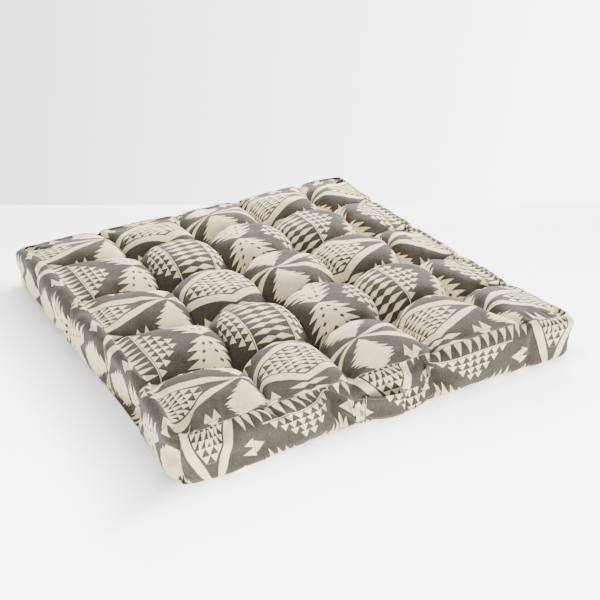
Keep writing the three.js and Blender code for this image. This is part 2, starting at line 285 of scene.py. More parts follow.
# For each grid line: its puff, how far it lies across that puff, and how full the puff is
# there. The outermost halves of the outer puffs stay full.
index = np.minimum(np.arange(LINES + 1) // CELLS, PUFFS - 1)
share = np.where(np.arange(LINES + 1) == LINES, 1.0, (np.arange(LINES + 1) % CELLS) / CELLS)
outermost = ((index == 0) & (share < 0.5)) | ((index == PUFFS - 1) & (share > 0.5))
swell = np.where(outermost, 1, np.abs(np.sin(math.pi * share)) ** 0.5)


def between(lines, low, high):
    """0 at one line and 1 at the other."""
    return np.clip((lines - low) / (high - low), 0, 1)


# 0 at the last ties and 1 at the seam, towards each side
to_front = between(Y, tie_rows[0], -HALF_SIDE)
to_back = between(Y, tie_rows[-1], HALF_SIDE)
to_left = between(X, tie_columns[0], -HALF_SIDE)
to_right = between(X, tie_columns[-1], HALF_SIDE)
# how far each point moves in because the borders roll over onto the top
roll_x = (to_left * ROLL["left"] - to_right * ROLL["right"]) * (1 - (Y / HALF_SIDE) ** 4) * MM
roll_y = (to_front * ROLL["front"] - to_back * ROLL["back"]) * (1 - (X / HALF_SIDE) ** 4) * MM


def seam_pull(edges, side, seed):
    """How hard the creases pull along one seam, and a finer pucker from the stitching."""
    lines = leaning(edges, side)
    pull = sum(dip * MM * np.exp(-(((lines - end) / DIP_HALF_WIDTH) ** 2))
               for dip, end in zip(SEAM_DIPS[side], lines[CELLS:-1:CELLS]))
    return pull, wander(LINES + 1, 3, seed, 0.4 * MM)


def top_sheet():
    """The rough shape from which the top settles."""
    X2 = X + to_front * (leaning(across_edges, "front") - x_lines)[:, None]
    X2 += to_back * (leaning(across_edges, "back") - x_lines)[:, None]
    Y2 = Y + to_left * (leaning(along_edges, "left") - y_lines)[None, :]
    Y2 += to_right * (leaning(along_edges, "right") - y_lines)[None, :]
    px, py, out_x, out_y = round_corner(X2 + roll_x, Y2 + roll_y)
    edge = np.maximum.reduce([to_front, to_back, to_left, to_right])
    full = (swell[:, None] + swell[None, :]) / 2
    rim_share = between(edge, 0.5, 1)
    full = 1 - (1 - full) * (1 - rim_share)
    pz = PIT_TOP + 0.85 * (panel_high.z - PIT_TOP) * full
    pz += (TOP_SEAM + 0.5 * MM - pz) * rim_share ** 2
    sheet = np.stack([px, py, pz], -1)
    for side, seed in (("front", 1), ("back", 2), ("left", 3), ("right", 4)):
        edges = across_edges if side in ("front", "back") else along_edges
        pull, pucker = seam_pull(edges, side, seed)
        rim = {"front": np.s_[:, 0], "back": np.s_[:, -1], "left": np.s_[0], "right": np.s_[-1]}[side]
        inward = 0.8 * pull + pucker
        sheet[rim][..., 0] -= out_x[rim] * inward
        sheet[rim][..., 1] -= out_y[rim] * inward
        sheet[rim][..., 2] += SEAM_RISE + pucker - pull
    return sheet


def sunken(sheet):
    """The same sheet with its edges and corners sunk where the filling is thin."""
    px, py = sheet[..., 0], sheet[..., 1]
    sink = np.zeros(px.shape)
    for side, out, other in (("back", py, px), ("right", px, py), ("left", -px, py)):
        near = between(out, tie_columns[-1], HALF_SIDE - EDGE_FLAT)
        near = near * near * (3 - 2 * near)
        sink = np.maximum(sink, EDGE_SINK[side] * near * (1 - 0.6 * (other / HALF_SIDE) ** 2))
    for side_x, side_y, corner in CORNER_SINK:
        apart = np.hypot(px - side_x * HALF_SIDE, py - side_y * HALF_SIDE)
        sink += corner * np.exp(-((apart / CORNER_REACH) ** 2))
    sunk = sheet.copy()
    sunk[..., 2] -= sink * MM
    return sunk


def top_roof():
    """How high each point of a crease may rise: the twine draws the creases down."""
    roof = np.full((LINES + 1, LINES + 1), np.inf)
    inner = PIT_TOP + SADDLE * np.abs(np.sin(math.pi * share)) ** 0.7
    to_seam = np.where(index == 0, 1 - share, share)
    outer = PIT_TOP + (TOP_SEAM - 6 * MM - PIT_TOP) * to_seam ** 0.75
    height = np.where((index == 0) | (index == PUFFS - 1), outer, inner)
    chance = np.random.default_rng(12)
    for tie in range(1, PUFFS):
        line = tie * CELLS
        for crease in (roof[line], roof[:, line]):
            vary = np.repeat(chance.uniform(0.82, 1.12, PUFFS), CELLS)
            lift = (height - PIT_TOP) * np.append(vary, 1)
            crease[:] = np.minimum(crease, PIT_TOP + lift)
    for x in tie_columns:
        for y in tie_rows:
            away = np.hypot(X - x, Y - y)
            roof = np.minimum(roof, PIT_TOP + PIT_SLOPE * np.maximum(away - PIT_FLOOR, 0))
    return roof


def tied(sheet, height):
    """Draws the sheet to a height at each tie; gives the points that seams and ties hold."""
    held = sewn_edges(sheet)
    for a in range(1, PUFFS):
        for b in range(1, PUFFS):
            i, j = a * CELLS, b * CELLS
            held[i - 1:i + 2, j] = held[i, j - 1:j + 2] = True
            sheet[i - 1:i + 2, j, 2] = sheet[i, j - 1:j + 2, 2] = height
    return held


def puff_walls(edges):
    """For each grid line, how low and how high its own puff reaches."""
    low = np.append(np.repeat(edges[:-1], CELLS), edges[-1]) + SIDE_CLEARANCE
    high = np.append(np.repeat(edges[1:], CELLS), edges[-1]) - SIDE_CLEARANCE
    return low, high


def over_puffs(values):
    """One value a puff, spread over the grid."""
    return np.pad(np.kron(values, np.ones((CELLS, CELLS))), ((0, 1), (0, 1)), mode="edge")


def make_top():
    sheet = top_sheet()
    cut = np.stack([X + roll_x, Y + roll_y], -1) * SPARE
    held = tied(sheet, PIT_TOP)
    roof = top_roof()
    low, high = puff_walls(across_edges)
    low_y, high_y = puff_walls(along_edges)
    inner = np.arange(CELLS, (PUFFS - 1) * CELLS)
    inner = inner[inner % CELLS > 0]
    block = np.s_[CELLS:(PUFFS - 1) * CELLS + 1]

    # how high the filling carries each puff: full in the middle, and no two quite alike
    bow = 1 - np.abs(2 * share - 1) ** 3
    chance = np.random.default_rng(11)
    fullness = over_puffs(chance.normal(0, 0.018, (PUFFS, PUFFS)))
    cap = 0.83 + fullness + (0.19 + fullness) * bow[:, None] * bow[None, :]
    cap = PIT_TOP + (panel_high.z - PIT_TOP) * cap

    def limit(points):
        over = points[..., 2] - cap
        points[..., 2] -= np.where(over > 0, 0.25 * over, 0)
        points[..., 2] = np.minimum(points[..., 2], roof)
        columns = points[inner, block, 0]
        points[inner, block, 0] = np.clip(columns, low[inner][:, None], high[inner][:, None])
        rows = points[block, :, 1][:, inner]
        points[block, inner, 1] = np.clip(rows, low_y[inner][None], high_y[inner][None])

    push = PRESSURE * over_puffs(chance.normal(1, 0.15, (PUFFS, PUFFS)))
    steps = 320
    return settle(sheet, cut, held, push, limit, steps), cut


top_points, top_cut = make_top()
top_points = ruffled(sunken(top_points), top_cut, 41, 0.35 * MM)
cover_top = add_sheet("cover_top", top_points, top_cut + np.array([0, 3 * SPARE * MM]))
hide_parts("top_panel")

# ---- 2. Bottom panel -------------------------------------
# The same cloth underneath, lying on the floor. The ties draw it up into sixteen shallow
# hollows and the cushion's weight presses the rest flat.
LOW_SPARE = 1.03  # length of cloth over the length it spans
TUCK = 4 * MM  # how far the lower seam is rolled in and under


def make_bottom():
    px, py, out_x, out_y = round_corner(X, Y)
    edge = np.maximum(abs(X), abs(Y)) / HALF_SIDE
    low = LOW_SEAM - TUCK
    sheet = np.stack([px, py, low * edge ** 8 + 0.5 * MM], -1)
    for rim, seed in ((np.s_[:, 0], 5), (np.s_[:, -1], 6), (np.s_[0], 7), (np.s_[-1], 8)):
        inward = TUCK + wander(LINES + 1, 4, seed, 0.4 * MM)
        sheet[rim][..., 0] -= out_x[rim] * inward
        sheet[rim][..., 1] -= out_y[rim] * inward
        sheet[rim][..., 2] = low + 0.4 * (inward - TUCK)
    held = tied(sheet, PIT_LOW)
    cut = np.stack([X, Y], -1) * LOW_SPARE

    def limit(points):
        points[..., 2] = np.maximum(points[..., 2], 0.3 * MM)

    push = np.full(sheet.shape[:2], -0.05 * MM)
    return settle(sheet, cut, held, push, limit, 140), cut


low_points, low_cut = make_bottom()
cover_bottom = add_sheet("cover_bottom", low_points, low_cut, flip=True, levels=0)
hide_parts("bottom_panel")

# ---- 3. Side borders -------------------------------------
# Four strips of the same cloth turned a quarter, so that the pattern runs along the side.
# Each is gathered a little onto the seams, and folds inward where a crease pulls on it.
ROWS = 18  # cells up a border
STRIP_SPARE = 1.04  # length of a strip over its seam's
STRIP_HEIGHT = {"front": 110, "back": 84, "left": 114, "right": 76}  # mm, seam to seam
BULGE = {"front": 17, "back": 9, "left": 11, "right": 9}  # mm, how far it stands out
# For each side: where a fold starts on the upper seam, where it ends below, and its depth.
FOLDS = {
    "front": ((-232, -226, 5), (-100, -92, 38), (68, 97, 42), (266, 262, 9)),
    "back": ((-226, -222, 8), (-36, -40, 8), (104, 108, 7), (258, 262, 8)),
    "left": ((-216, -206, 22), (-66, -76, 8), (76, 70, 18), (236, 230, 9)),
    "right": ((-212, -208, 7), (-74, -70, 7), (84, 80, 6), (238, 240, 8)),
}
# Where a border is drawn in over a longer stretch: middle, half length, depth.
WAIST = {
    "front": (-60, 60, 4),
    "back": (0, 200, 3),
    "left": (-150, 120, 16),
    "right": (0, 200, 6),
}
FOLD_HALF_WIDTH = 8 * MM
# How the pattern lies on each strip, in mm of cloth: what comes at the lower seam and at the
# middle of the side, and how much of it shows up the strip.
PRINT_LOW = {"front": 12, "back": 12, "left": -40, "right": 0}
PRINT_START = {"front": 3.5, "back": -20, "left": -88, "right": 60}
PRINT_HEIGHT = 112


def border_rims(side):
    """The seam points of a border, from left to right as seen from outside."""
    rim = {"front": np.s_[:, 0], "back": np.s_[::-1, -1],
           "left": np.s_[0, ::-1], "right": np.s_[-1]}[side]
    return top_points[rim], low_points[rim], rim


def make_border(side):
    upper, lower, rim = border_rims(side)
    base_x, base_y, out_x, out_y = (grid[rim] for grid in round_corner(X, Y))
    place = (X if side in ("front", "back") else Y)[rim]
    out = np.stack([out_x, out_y], -1)
    base = np.stack([base_x, base_y], -1)
    up = np.linspace(0, 1, ROWS + 1)
    bulge = BULGE[side] * MM
    sheet = lower[:, None] + (upper - lower)[:, None] * up[None, :, None]
    sheet[..., :2] += (0.8 * bulge * np.sin(math.pi * up))[None, :, None] * out[:, None]
    steps = np.linalg.norm(np.diff(base, axis=0), axis=1)
    along = np.append(0, np.cumsum(steps)) * STRIP_SPARE
    along -= along[-1] / 2
    cut = np.stack(np.meshgrid(along, up * STRIP_HEIGHT[side] * MM, indexing="ij"), -1)
    corner_bow = 0.45 * bulge * np.sin(math.pi * up)
    for end in (0, -1):
        sheet[end, :, :2] = (lower[end] + (upper[end] - lower[end]) * up[:, None])[:, :2]
        sheet[end, :, :2] += corner_bow[:, None] * out[end]
    waist, half_length, depth = WAIST[side]
    narrow = depth * MM * np.exp(-(((place / MM - waist) / half_length) ** 2))
    reach = (bulge - narrow)[:, None] + np.zeros(ROWS + 1)
    for top_end, low_end, depth in FOLDS[side]:
        line = (low_end + (top_end - low_end) * up) * MM
        near = np.exp(-(((place[:, None] - line[None]) / FOLD_HALF_WIDTH) ** 2))
        reach -= depth * MM * near * (0.25 + 0.75 * up ** 0.7)[None]

    def limit(points):
        stand = ((points[..., :2] - base[:, None]) * out[:, None]).sum(-1)
        points[..., :2] += np.minimum(reach - stand, 0)[..., None] * 0.6 * out[:, None]
        points[..., 2] = np.maximum(points[..., 2], 0.6 * MM)

    push = np.full(sheet.shape[:2], 0.05 * MM)
    steps = 260
    sheet = settle(sheet, cut, sewn_edges(sheet), push, limit, steps)
    turned = np.stack(np.broadcast_arrays(
        ((PRINT_LOW[side] + PRINT_HEIGHT * up) * MM)[None, :],
        along[:, None] + PRINT_START[side] * MM * STRIP_SPARE), -1)
    return sheet, turned


border_points = {}
covers = [cover_top, cover_bottom]
for side in ("front", "right", "back", "left"):
    sheet, turned = make_border(side)
    border_points[side] = ruffled(sheet, turned, 42 + len(covers), 0.4 * MM)
    border_points[side][..., 2] = np.maximum(border_points[side][..., 2], 0.5 * MM)
    cover = add_sheet(f"cover_{side}", border_points[side], turned)
    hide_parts(f"border_{side}")
    covers.append(cover)

# ---- 4. Fibre filling ------------------------------------
# One thick loose pad of white fibre fills the cover and follows its puffs. It stays clear of
# the folds in the borders, and the twine goes through it.
PAD_STEP = 4  # grid lines between points of the pad
PAD_GAP = 2 * MM  # cloth and air between the pad and the cover's outer face
PAD_INSET = 28 * MM  # how far the pad's edge lies inside the seams
PAD_EDGE = 14 * MM  # how much lower the pad's upper edge is
PAD_WAIST = 4 * MM  # how far its side stands out between its two edges


def lowest_near(heights, reach):
    """The lowest height within a few grid lines of each point."""
    n = len(heights)
    wide = np.pad(heights, reach, mode="edge")
    return np.minimum.reduce([wide[i:i + n, j:j + n]
                              for i in range(2 * reach + 1) for j in range(2 * reach + 1)])


def make_filling():
    upper = top_points - PAD_GAP * normals(top_points)
    upper[..., 2] = lowest_near(upper[..., 2], PAD_STEP)
    upper = upper[::PAD_STEP, ::PAD_STEP]
    lower = (low_points + PAD_GAP * normals(low_points))[::PAD_STEP, ::PAD_STEP]
    for sheet in (upper, lower):
        sheet[..., :2] *= 1 - PAD_INSET / HALF_SIDE
    upper[..., 2] = np.maximum(upper[..., 2] - 4 * MM, lower[..., 2] + 6 * MM)
    lower[..., 2] += 3 * MM
    upper[[0, -1], :, 2] -= PAD_EDGE
    upper[:, [0, -1], 2] -= PAD_EDGE
    n = upper.shape[0]
    loop = [(i, 0) for i in range(n - 1)] + [(n - 1, j) for j in range(n - 1)]
    loop += [(n - 1 - i, n - 1) for i in range(n - 1)] + [(0, n - 1 - j) for j in range(n - 1)]
    wider = 1 + PAD_WAIST / HALF_SIDE
    waist = [(upper[k] + lower[k]) / 2 * (wider, wider, 1) for k in loop]
    points = [*upper.reshape(-1, 3), *lower.reshape(-1, 3), *waist]
    faces = grid_faces(n, n) + grid_faces(n, n, start=n * n, flip=True)
    for k, (i, j) in enumerate(loop):
        following = (k + 1) % len(loop)
        i2, j2 = loop[following]
        top, top2 = i * n + j, i2 * n + j2
        middle, middle2 = 2 * n * n + k, 2 * n * n + following
        faces.append((top2, top, middle, middle2))
        faces.append((middle2, middle, n * n + top, n * n + top2))
    return add_mesh("fibre_pad", points, faces)


fibre_pad = make_filling()
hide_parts("fibre_filling")

# ---- 5. Woven cloth --------------------------------------
# A heavy cotton woven from cream and taupe yarn, with a geometric repeat of stepped trees,
# lens-shaped bands, combs and pyramids of small triangles. Edges step from thread to thread.
REPEAT_ACROSS = 264  # mm of cloth from one column of crossings to the next
REPEAT_ALONG = 325  # mm of cloth from one row of crossings to the next
THREAD = 0.8  # mm between threads
CREAM = (0.83, 0.70, 0.44)
TAUPE = (0.050, 0.0415, 0.029)
FIBRE_TONES = ((0.62, 0.60, 0.56), (0.78, 0.76, 0.72))


class Amount:
    """A number worked out inside a material; arithmetic on it makes the nodes."""

    def __init__(self, tree, socket):
        self.tree = tree
        self.socket = socket

    def make(self, operation, *others, clamp=False):
        node = self.tree.nodes.new("ShaderNodeMath")
        node.operation = operation
        node.use_clamp = clamp
        for place, value in zip(node.inputs, (self, *others)):
            if isinstance(value, Amount):
                self.tree.links.new(value.socket, place)
            else:
                place.default_value = value
        return Amount(self.tree, node.outputs[0])

    def __add__(self, other):
        return self.make("ADD", other)

    def __sub__(self, other):
        return self.make("SUBTRACT", other)

    def __mul__(self, other):
        return self.make("MULTIPLY", other)

    def __truediv__(self, other):
        return self.make("DIVIDE", other)

    def __mod__(self, other):
        return self.make("FLOORED_MODULO", other)

    def __abs__(self):
        return self.make("ABSOLUTE")

    def less_from(self, total):
        """total minus this amount"""
        return self * -1 + total

    def part(self, step):
        """how far through its step this amount has come, from 0 to 1"""
        return self % step / step

    def below(self, limit):
        """1 where this amount is under the limit, 0 over it, with one thread's blur"""
        return ((self - limit) * (-1 / THREAD)).make("ADD", 0.5, clamp=True)

    def above(self, limit):
        return ((self - limit) * (1 / THREAD)).make("ADD", 0.5, clamp=True)

    def least(self, other):
        return self.make("MINIMUM", other)

    def most(self, other):
        return self.make("MAXIMUM", other)


def new_group(name, inputs, outputs):
    tree = bpy.data.node_groups.new(name, "ShaderNodeTree")
    for label, kind in inputs:
        tree.interface.new_socket(name=label, in_out="INPUT", socket_type=kind)
    for label, kind in outputs:
        tree.interface.new_socket(name=label, in_out="OUTPUT", socket_type=kind)
    return tree, tree.nodes.new("NodeGroupInput"), tree.nodes.new("NodeGroupOutput")


def split_place(tree, socket):
    """The three coordinates of a place, each as an amount."""
    split = tree.nodes.new("ShaderNodeSeparateXYZ")
    tree.links.new(socket, split.inputs[0])
    return [Amount(tree, output) for output in split.outputs]


def triangle(across, along, middle, base, tip, half):
    """A solid triangle standing on `base` with its point at `tip`."""
    rise = (along - base) * (1 if tip > base else -1)
    width = rise.less_from(abs(tip - base)) * (half / abs(tip - base))
    return abs(across - middle).below(width) * rise.above(0)


def woven_print():
    """Where the cream yarn comes to the face of the cloth."""
    tree, given, result = new_group(
        "woven_print", [("Cloth", "NodeSocketVector")], [("Cream", "NodeSocketFloat")])
    weft, warp, _ = split_place(tree, given.outputs["Cloth"])

    def folded(place, repeat):
        threads = (place * (1000 / THREAD)).make("ROUND") * THREAD
        return threads.make("PINGPONG", repeat / 2)

    across = folded(weft, REPEAT_ACROSS)
    along = folded(warp, REPEAT_ALONG)
    to_comb = across.less_from(REPEAT_ACROSS / 2)
    to_middle = along.less_from(REPEAT_ALONG / 2)

    # lens-shaped bands that cross between the trees
    lens = (across / (REPEAT_ACROSS / 2)).make("POWER", 1.2) * 48
    cream = abs(along - lens).below((across * 0.13 + 0.3).least(7.6))

    # inside each lens, long flames in the middle and small triangles towards both tips
    flame = to_comb.part(12.7).less_from(1)
    slanted = along + (to_comb / 12.7).make("FLOOR") * 5 + flame * 3
    flames = abs(slanted % 10 - 5).below(flame * 3.3 + 1)
    flames = flames * along.below(to_comb * -0.37 + 36) * to_comb.below(38)
    column = (to_comb - 38) / 14.5
    step = column.make("FLOOR")
    bits = abs((along + 7 + step * 7) % 14 - 7).below(column.make("FRACT").less_from(1) * 6.8)
    bits = bits * along.below(step * -7 + 21) * to_comb.above(38) * to_comb.below(67)
    cream = cream.most(flames).most(bits)

    # the comb: rows of leaves on a thin stem, either side of the column
    leaf = ((to_comb + 3) / 14).least(to_comb.less_from(33) / 21) * 5.2
    rows = abs(to_middle % 15.5 - 7.75)
    comb = rows.below(leaf) * along.above(57) * to_comb.below(33)
    stem = abs(to_comb - 35).below(0.9) * along.above(92)
    cream = cream.most(comb).most(stem)

    # the pyramid: four columns of small triangles, each column shorter than the last
    column = (to_comb - 37) / 12
    step = column.make("FLOOR")
    point = column.make("FRACT").less_from(1)
    row = abs(to_middle % 15 - 7.5)
    pyramid = row.below(point * 7.2) * to_middle.below(step * -15 + 60) * to_comb.above(37)
    cream = cream.most(pyramid * to_comb.below(85))

    # the small tree that grows from each crossing and narrows again
    teeth = (along - 6).part(11.5) * 0.42 + 0.68
    widening = (along - 6) * 0.9 * teeth
    narrowing = along.less_from(88) * ((along - 52).part(9).less_from(1) * 0.42 + 0.85)
    small_tree = across.below(widening.least(narrowing)) * along.above(6) * along.below(80)
    cream = cream.most(small_tree)

    # the tall tree, with a dark doorway at its foot and dark notches up the trunk
    height = along.less_from(161)
    branches = height * 62 / (height + 16) * (height.part(14) * 0.52 + 0.48)
    tall_tree = across.below(branches) * height.below(77) * height.above(0)
    doorway = triangle(across, along, 0, 83, 106, 21)
    notch = abs(across - height * 0.36) + abs((height + 4) % 14 - 7)
    notches = notch.below(4) * height.below(60) * height.above(12)
    tall_tree = tall_tree - doorway - notches
    cream = cream.most(tall_tree)

    # three leaves between the tree and the comb
    for middle, base, tip, half in ((56, 70, 50, 8), (72, 70, 54, 9), (64, 71, 88, 11)):
        cream = cream.most(triangle(across, along, middle, base, tip, half))
    tree.links.new(cream.socket, result.inputs["Cream"])
    return tree


def weave_relief():
    """The plain weave's raised threads, and how light or dark each stretch of yarn is."""
    tree, given, result = new_group(
        "weave_relief", [("Cloth", "NodeSocketVector")],
        [("Height", "NodeSocketFloat"), ("Yarn", "NodeSocketFloat")])
    places = split_place(tree, given.outputs["Cloth"])
    turn = math.pi * 1000 / THREAD
    waves = [(place * turn).make("SINE") for place in places[:2]]
    yarns = []
    for stretch, fineness in (((1, 0.16, 1), 900), ((0.3, 1, 1), 420)):
        scaled = tree.nodes.new("ShaderNodeVectorMath")
        scaled.operation = "MULTIPLY"
        tree.links.new(given.outputs["Cloth"], scaled.inputs[0])
        scaled.inputs[1].default_value = stretch
        noise = tree.nodes.new("ShaderNodeTexNoise")
        noise.inputs["Scale"].default_value = fineness
        noise.inputs["Detail"].default_value = 1
        tree.links.new(scaled.outputs[0], noise.inputs["Vector"])
        yarns.append(Amount(tree, noise.outputs["Fac"]))
    yarn = (yarns[0] + yarns[1]) * 0.5
    height = waves[0] * waves[1] * 0.5 + yarn
    tree.links.new(height.socket, result.inputs["Height"])
    tree.links.new(yarn.socket, result.inputs["Yarn"])
    return tree


def new_material(name, roughness, sheen):
    material = bpy.data.materials.new(name)
    material.use_nodes = True
    shader = material.node_tree.nodes["Principled BSDF"]
    shader.inputs["Roughness"].default_value = roughness
    shader.inputs["Sheen Weight"].default_value = sheen
    shader.inputs["Sheen Roughness"].default_value = 0.5
    shader.inputs["Specular IOR Level"].default_value = 0.25
    return material, material.node_tree, shader


def mixed(tree, share, first, second):
    node = tree.nodes.new("ShaderNodeMix")
    node.data_type = "RGBA"
    tree.links.new(share, node.inputs["Factor"])
    for place, value in ((node.inputs["A"], first), (node.inputs["B"], second)):
        if isinstance(value, tuple):
            place.default_value = (*value, 1)
        else:
            tree.links.new(value, place)
    return node.outputs["Result"]


def raised(tree, shader, height, depth):
    bump = tree.nodes.new("ShaderNodeBump")
    bump.inputs["Strength"].default_value = 0.8
    bump.inputs["Distance"].default_value = depth
    tree.links.new(height, bump.inputs["Height"])
    tree.links.new(bump.outputs["Normal"], shader.inputs["Normal"])


def plain_material(name, roughness, sheen, colour):
    material, _, shader = new_material(name, roughness, sheen)
    shader.inputs["Base Color"].default_value = (*colour, 1)
    return material


def mottled_material(name, roughness, sheen, fineness, tones):
    material, tree, shader = new_material(name, roughness, sheen)
    noise = tree.nodes.new("ShaderNodeTexNoise")
    noise.inputs["Scale"].default_value = fineness
    tree.links.new(mixed(tree, noise.outputs["Fac"], *tones), shader.inputs["Base Color"])
    return material


print_group = woven_print()
relief_group = weave_relief()


def cloth_material(name):
    material, tree, shader = new_material(name, 0.95, 0.12)
    cloth = tree.nodes.new("ShaderNodeUVMap")
    cloth.uv_map = "Cloth"
    cream = tree.nodes.new("ShaderNodeGroup")
    cream.node_tree = print_group
    tree.links.new(cloth.outputs["UV"], cream.inputs["Cloth"])
    relief = tree.nodes.new("ShaderNodeGroup")
    relief.node_tree = relief_group
    tree.links.new(cloth.outputs["UV"], relief.inputs["Cloth"])
    yarn = Amount(tree, relief.outputs["Yarn"])
    fleck = ((yarn - 0.5) * 3.2).make("ADD", 0.5, clamp=True)
    taupe = mixed(tree, fleck.socket, tuple(0.72 * c for c in TAUPE), tuple(1.45 * c for c in TAUPE))
    pale = mixed(tree, fleck.socket, tuple(0.86 * c for c in CREAM), tuple(1.08 * c for c in CREAM))
    colour = mixed(tree, cream.outputs["Cream"], taupe, pale)
    tree.links.new(colour, shader.inputs["Base Color"])
    raised(tree, shader, relief.outputs["Height"], 0.25 * MM)
    return material


woven = cloth_material("woven_cover")
for cover in covers:
    cover.data.materials.append(woven)
    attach(cover, "cushion")

fibre_pad.data.materials.append(mottled_material("fibre", 1.0, 0.3, 60, FIBRE_TONES))
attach(fibre_pad, "cushion")

# ---- 6. Twine ties ---------------------------------------
# Natural two-ply twine goes right through the cushion at each pit. It crosses over the cloth
# above, is knotted there with two short tails, and holds a plain stitch underneath.
TWINE_PLY = 0.85 * MM  # radius of one ply
TIE_ARM = 8 * MM  # from the middle of a tie to where the twine enters the cloth
TWINE_TONES = ((0.26, 0.15, 0.08), (0.55, 0.38, 0.23))
UP = np.array([0, 0, 1])


def tube(points, radius, sides=6):
    """A round cord along a line of points, closed at both ends."""
    points = np.asarray(points, float)
    ahead = np.gradient(points, axis=0)
    ahead /= np.linalg.norm(ahead, axis=1, keepdims=True)
    side = np.cross(ahead[0], (0.31, 0.52, 0.79))
    turn = np.linspace(0, 2 * math.pi, sides, endpoint=False)[:, None]
    corners = []
    for point, way in zip(points, ahead):
        side = side - way * side.dot(way)
        side /= np.linalg.norm(side)
        ring = np.cos(turn) * side + np.sin(turn) * np.cross(way, side)
        corners.extend(point + radius * ring)
    faces = [tuple(range(sides))[::-1]]
    for k in range(len(points) - 1):
        for m in range(sides):
            a, b = k * sides + m, k * sides + (m + 1) % sides
            faces.append((a, b, b + sides, a + sides))
    faces.append(tuple(range((len(points) - 1) * sides, len(points) * sides)))
    return corners, faces


def plies(points, radius, turns):
    """Two plies twisted round each other along a line of points."""
    points = np.asarray(points, float)
    ahead = np.gradient(points, axis=0)
    side = np.cross(ahead, (0.31, 0.52, 0.79))
    side /= np.linalg.norm(side, axis=1, keepdims=True)
    other = np.cross(ahead, side)
    other /= np.linalg.norm(other, axis=1, keepdims=True)
    angle = np.linspace(0, 2 * math.pi * turns, len(points))[:, None]
    offset = 0.75 * radius * (np.cos(angle) * side + np.sin(angle) * other)
    return [tube(points + offset, radius), tube(points - offset, radius)]


def gathered(parts):
    corners, faces = [], []
    for part_corners, part_faces in parts:
        start = len(corners)
        corners.extend(part_corners)
        faces.extend(tuple(start + k for k in face) for face in part_faces)
    return corners, faces


def level_way(heading):
    return np.array([math.cos(heading), math.sin(heading), 0])


def tie_twine(x, y, seed):
    chance = np.random.default_rng(seed)
    top = np.array([x, y, PIT_TOP])
    heading = chance.uniform(0, math.pi)
    t = np.linspace(-1, 1, 15)[:, None]
    parts = []
    for over in (0, 1):
        way = level_way(heading)
        rise = (1.6 + 1.5 * over) * MM - 5 * MM * t ** 4
        line = top + TIE_ARM * t * way + rise * UP
        parts += plies(line, TWINE_PLY, 2.2)
        parts += plies(line + 1.8 * MM * np.cross(way, UP), TWINE_PLY, 2.2)
        heading += math.radians(chance.uniform(65, 110))
    knot = np.linspace(0, 1, 19)[:, None] * 2 * math.pi
    ring = np.hstack([2.6 * np.cos(knot), 2.6 * np.sin(knot), 4.2 + 0.9 * np.sin(2 * knot)]) * MM
    parts += plies(top + ring, TWINE_PLY, 3)
    for _ in range(2):
        heading += math.radians(chance.uniform(120, 200))
        way = level_way(heading)
        reach = np.linspace(0, 1, 9)[:, None]
        length = chance.uniform(8, 11) * MM
        rise = (4.5 + 7 * reach ** 1.3 + 1.5 * np.sin(5 * reach)) * MM
        line = top + length * reach * way + rise * UP
        parts += plies(line, TWINE_PLY, 1.6)
    shaft = np.linspace(PIT_LOW, PIT_TOP, 4)[:, None] * UP + np.array([x, y, 0])
    parts += plies(shaft, TWINE_PLY, 2)
    way = level_way(heading)
    under = np.array([x, y, PIT_LOW]) + 7 * MM * t * way
    under = under - (1.6 * MM - 3 * MM * t ** 4) * UP
    parts += plies(under, TWINE_PLY, 2)
    return gathered(parts)


twine = mottled_material("twine", 0.85, 0.2, 700, TWINE_TONES)
for column in range(1, PUFFS):
    for row in range(1, PUFFS):
        tie = add_mesh(f"twine_{column}_{row}", *tie_twine(
            tie_columns[column - 1], tie_rows[row - 1], 10 * column + row))
        tie.data.materials.append(twine)
        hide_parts(f"tuft_tie_{column}_{row}")
        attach(tie, "cushion")

# ---- 7. Seams --------------------------------------------
# The cover's six pieces are machine sewn with a fine thread. It draws the edges into a narrow groove,
# where short stitches lie in a row. An unbroken cord of the same dark thread runs along each groove
# as painted shade of the folded edges.
SEAM_THREAD = 0.5 * MM  # radius
STITCH_PITCH = 4 * MM
STITCH_SHARE = 0.68  # length of a stitch over the distance between two


def at_lengths(line, lengths):
    """Points at given distances along a line of points."""
    run = np.append(0, np.cumsum(np.linalg.norm(np.diff(line, axis=0), axis=1)))
    return np.stack([np.interp(lengths, run, line[:, axis]) for axis in range(3)], -1)


def stitched(line, radius, lift):
    """A row of stitches along a line; each lies on the cloth and dips in at its ends."""
    run = np.linalg.norm(np.diff(line, axis=0), axis=1).sum()
    parts = []
    for start in np.arange(0.5 * MM, run - STITCH_PITCH, STITCH_PITCH):
        shares = np.array([0, 0.25, 0.75, 1.0])
        stitch = at_lengths(line, start + shares * STITCH_SHARE * STITCH_PITCH)
        stitch[1:3] += lift
        stitch[[0, 3]] -= lift
        parts.append(tube(stitch, radius, 5))
    return parts


def panel_rim(points, gap):
    rim = np.concatenate([points[:-1, 0], points[-1, :-1], points[:0:-1, -1], points[0, ::-1]])
    out = rim * (1, 1, 0)
    return rim + gap * out / np.linalg.norm(out, axis=1, keepdims=True)


# dark thread for the stitches, also used for the cord of painted shade in each seam's groove
seam_thread = plain_material("seam_thread", 0.7, 0.1, (0.26, 0.22, 0.17))


def add_seam(name, line, lift):
    # the unbroken cord along the line is painted shade in the groove; the stitches lie over it
    seam = add_mesh(name + "_stitches", *gathered(
        [tube(line, 0.7 * SEAM_THREAD, 5)] + stitched(line, SEAM_THREAD, lift)))
    seam.data.materials.append(seam_thread)
    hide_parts(name)
    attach(seam, "cushion")


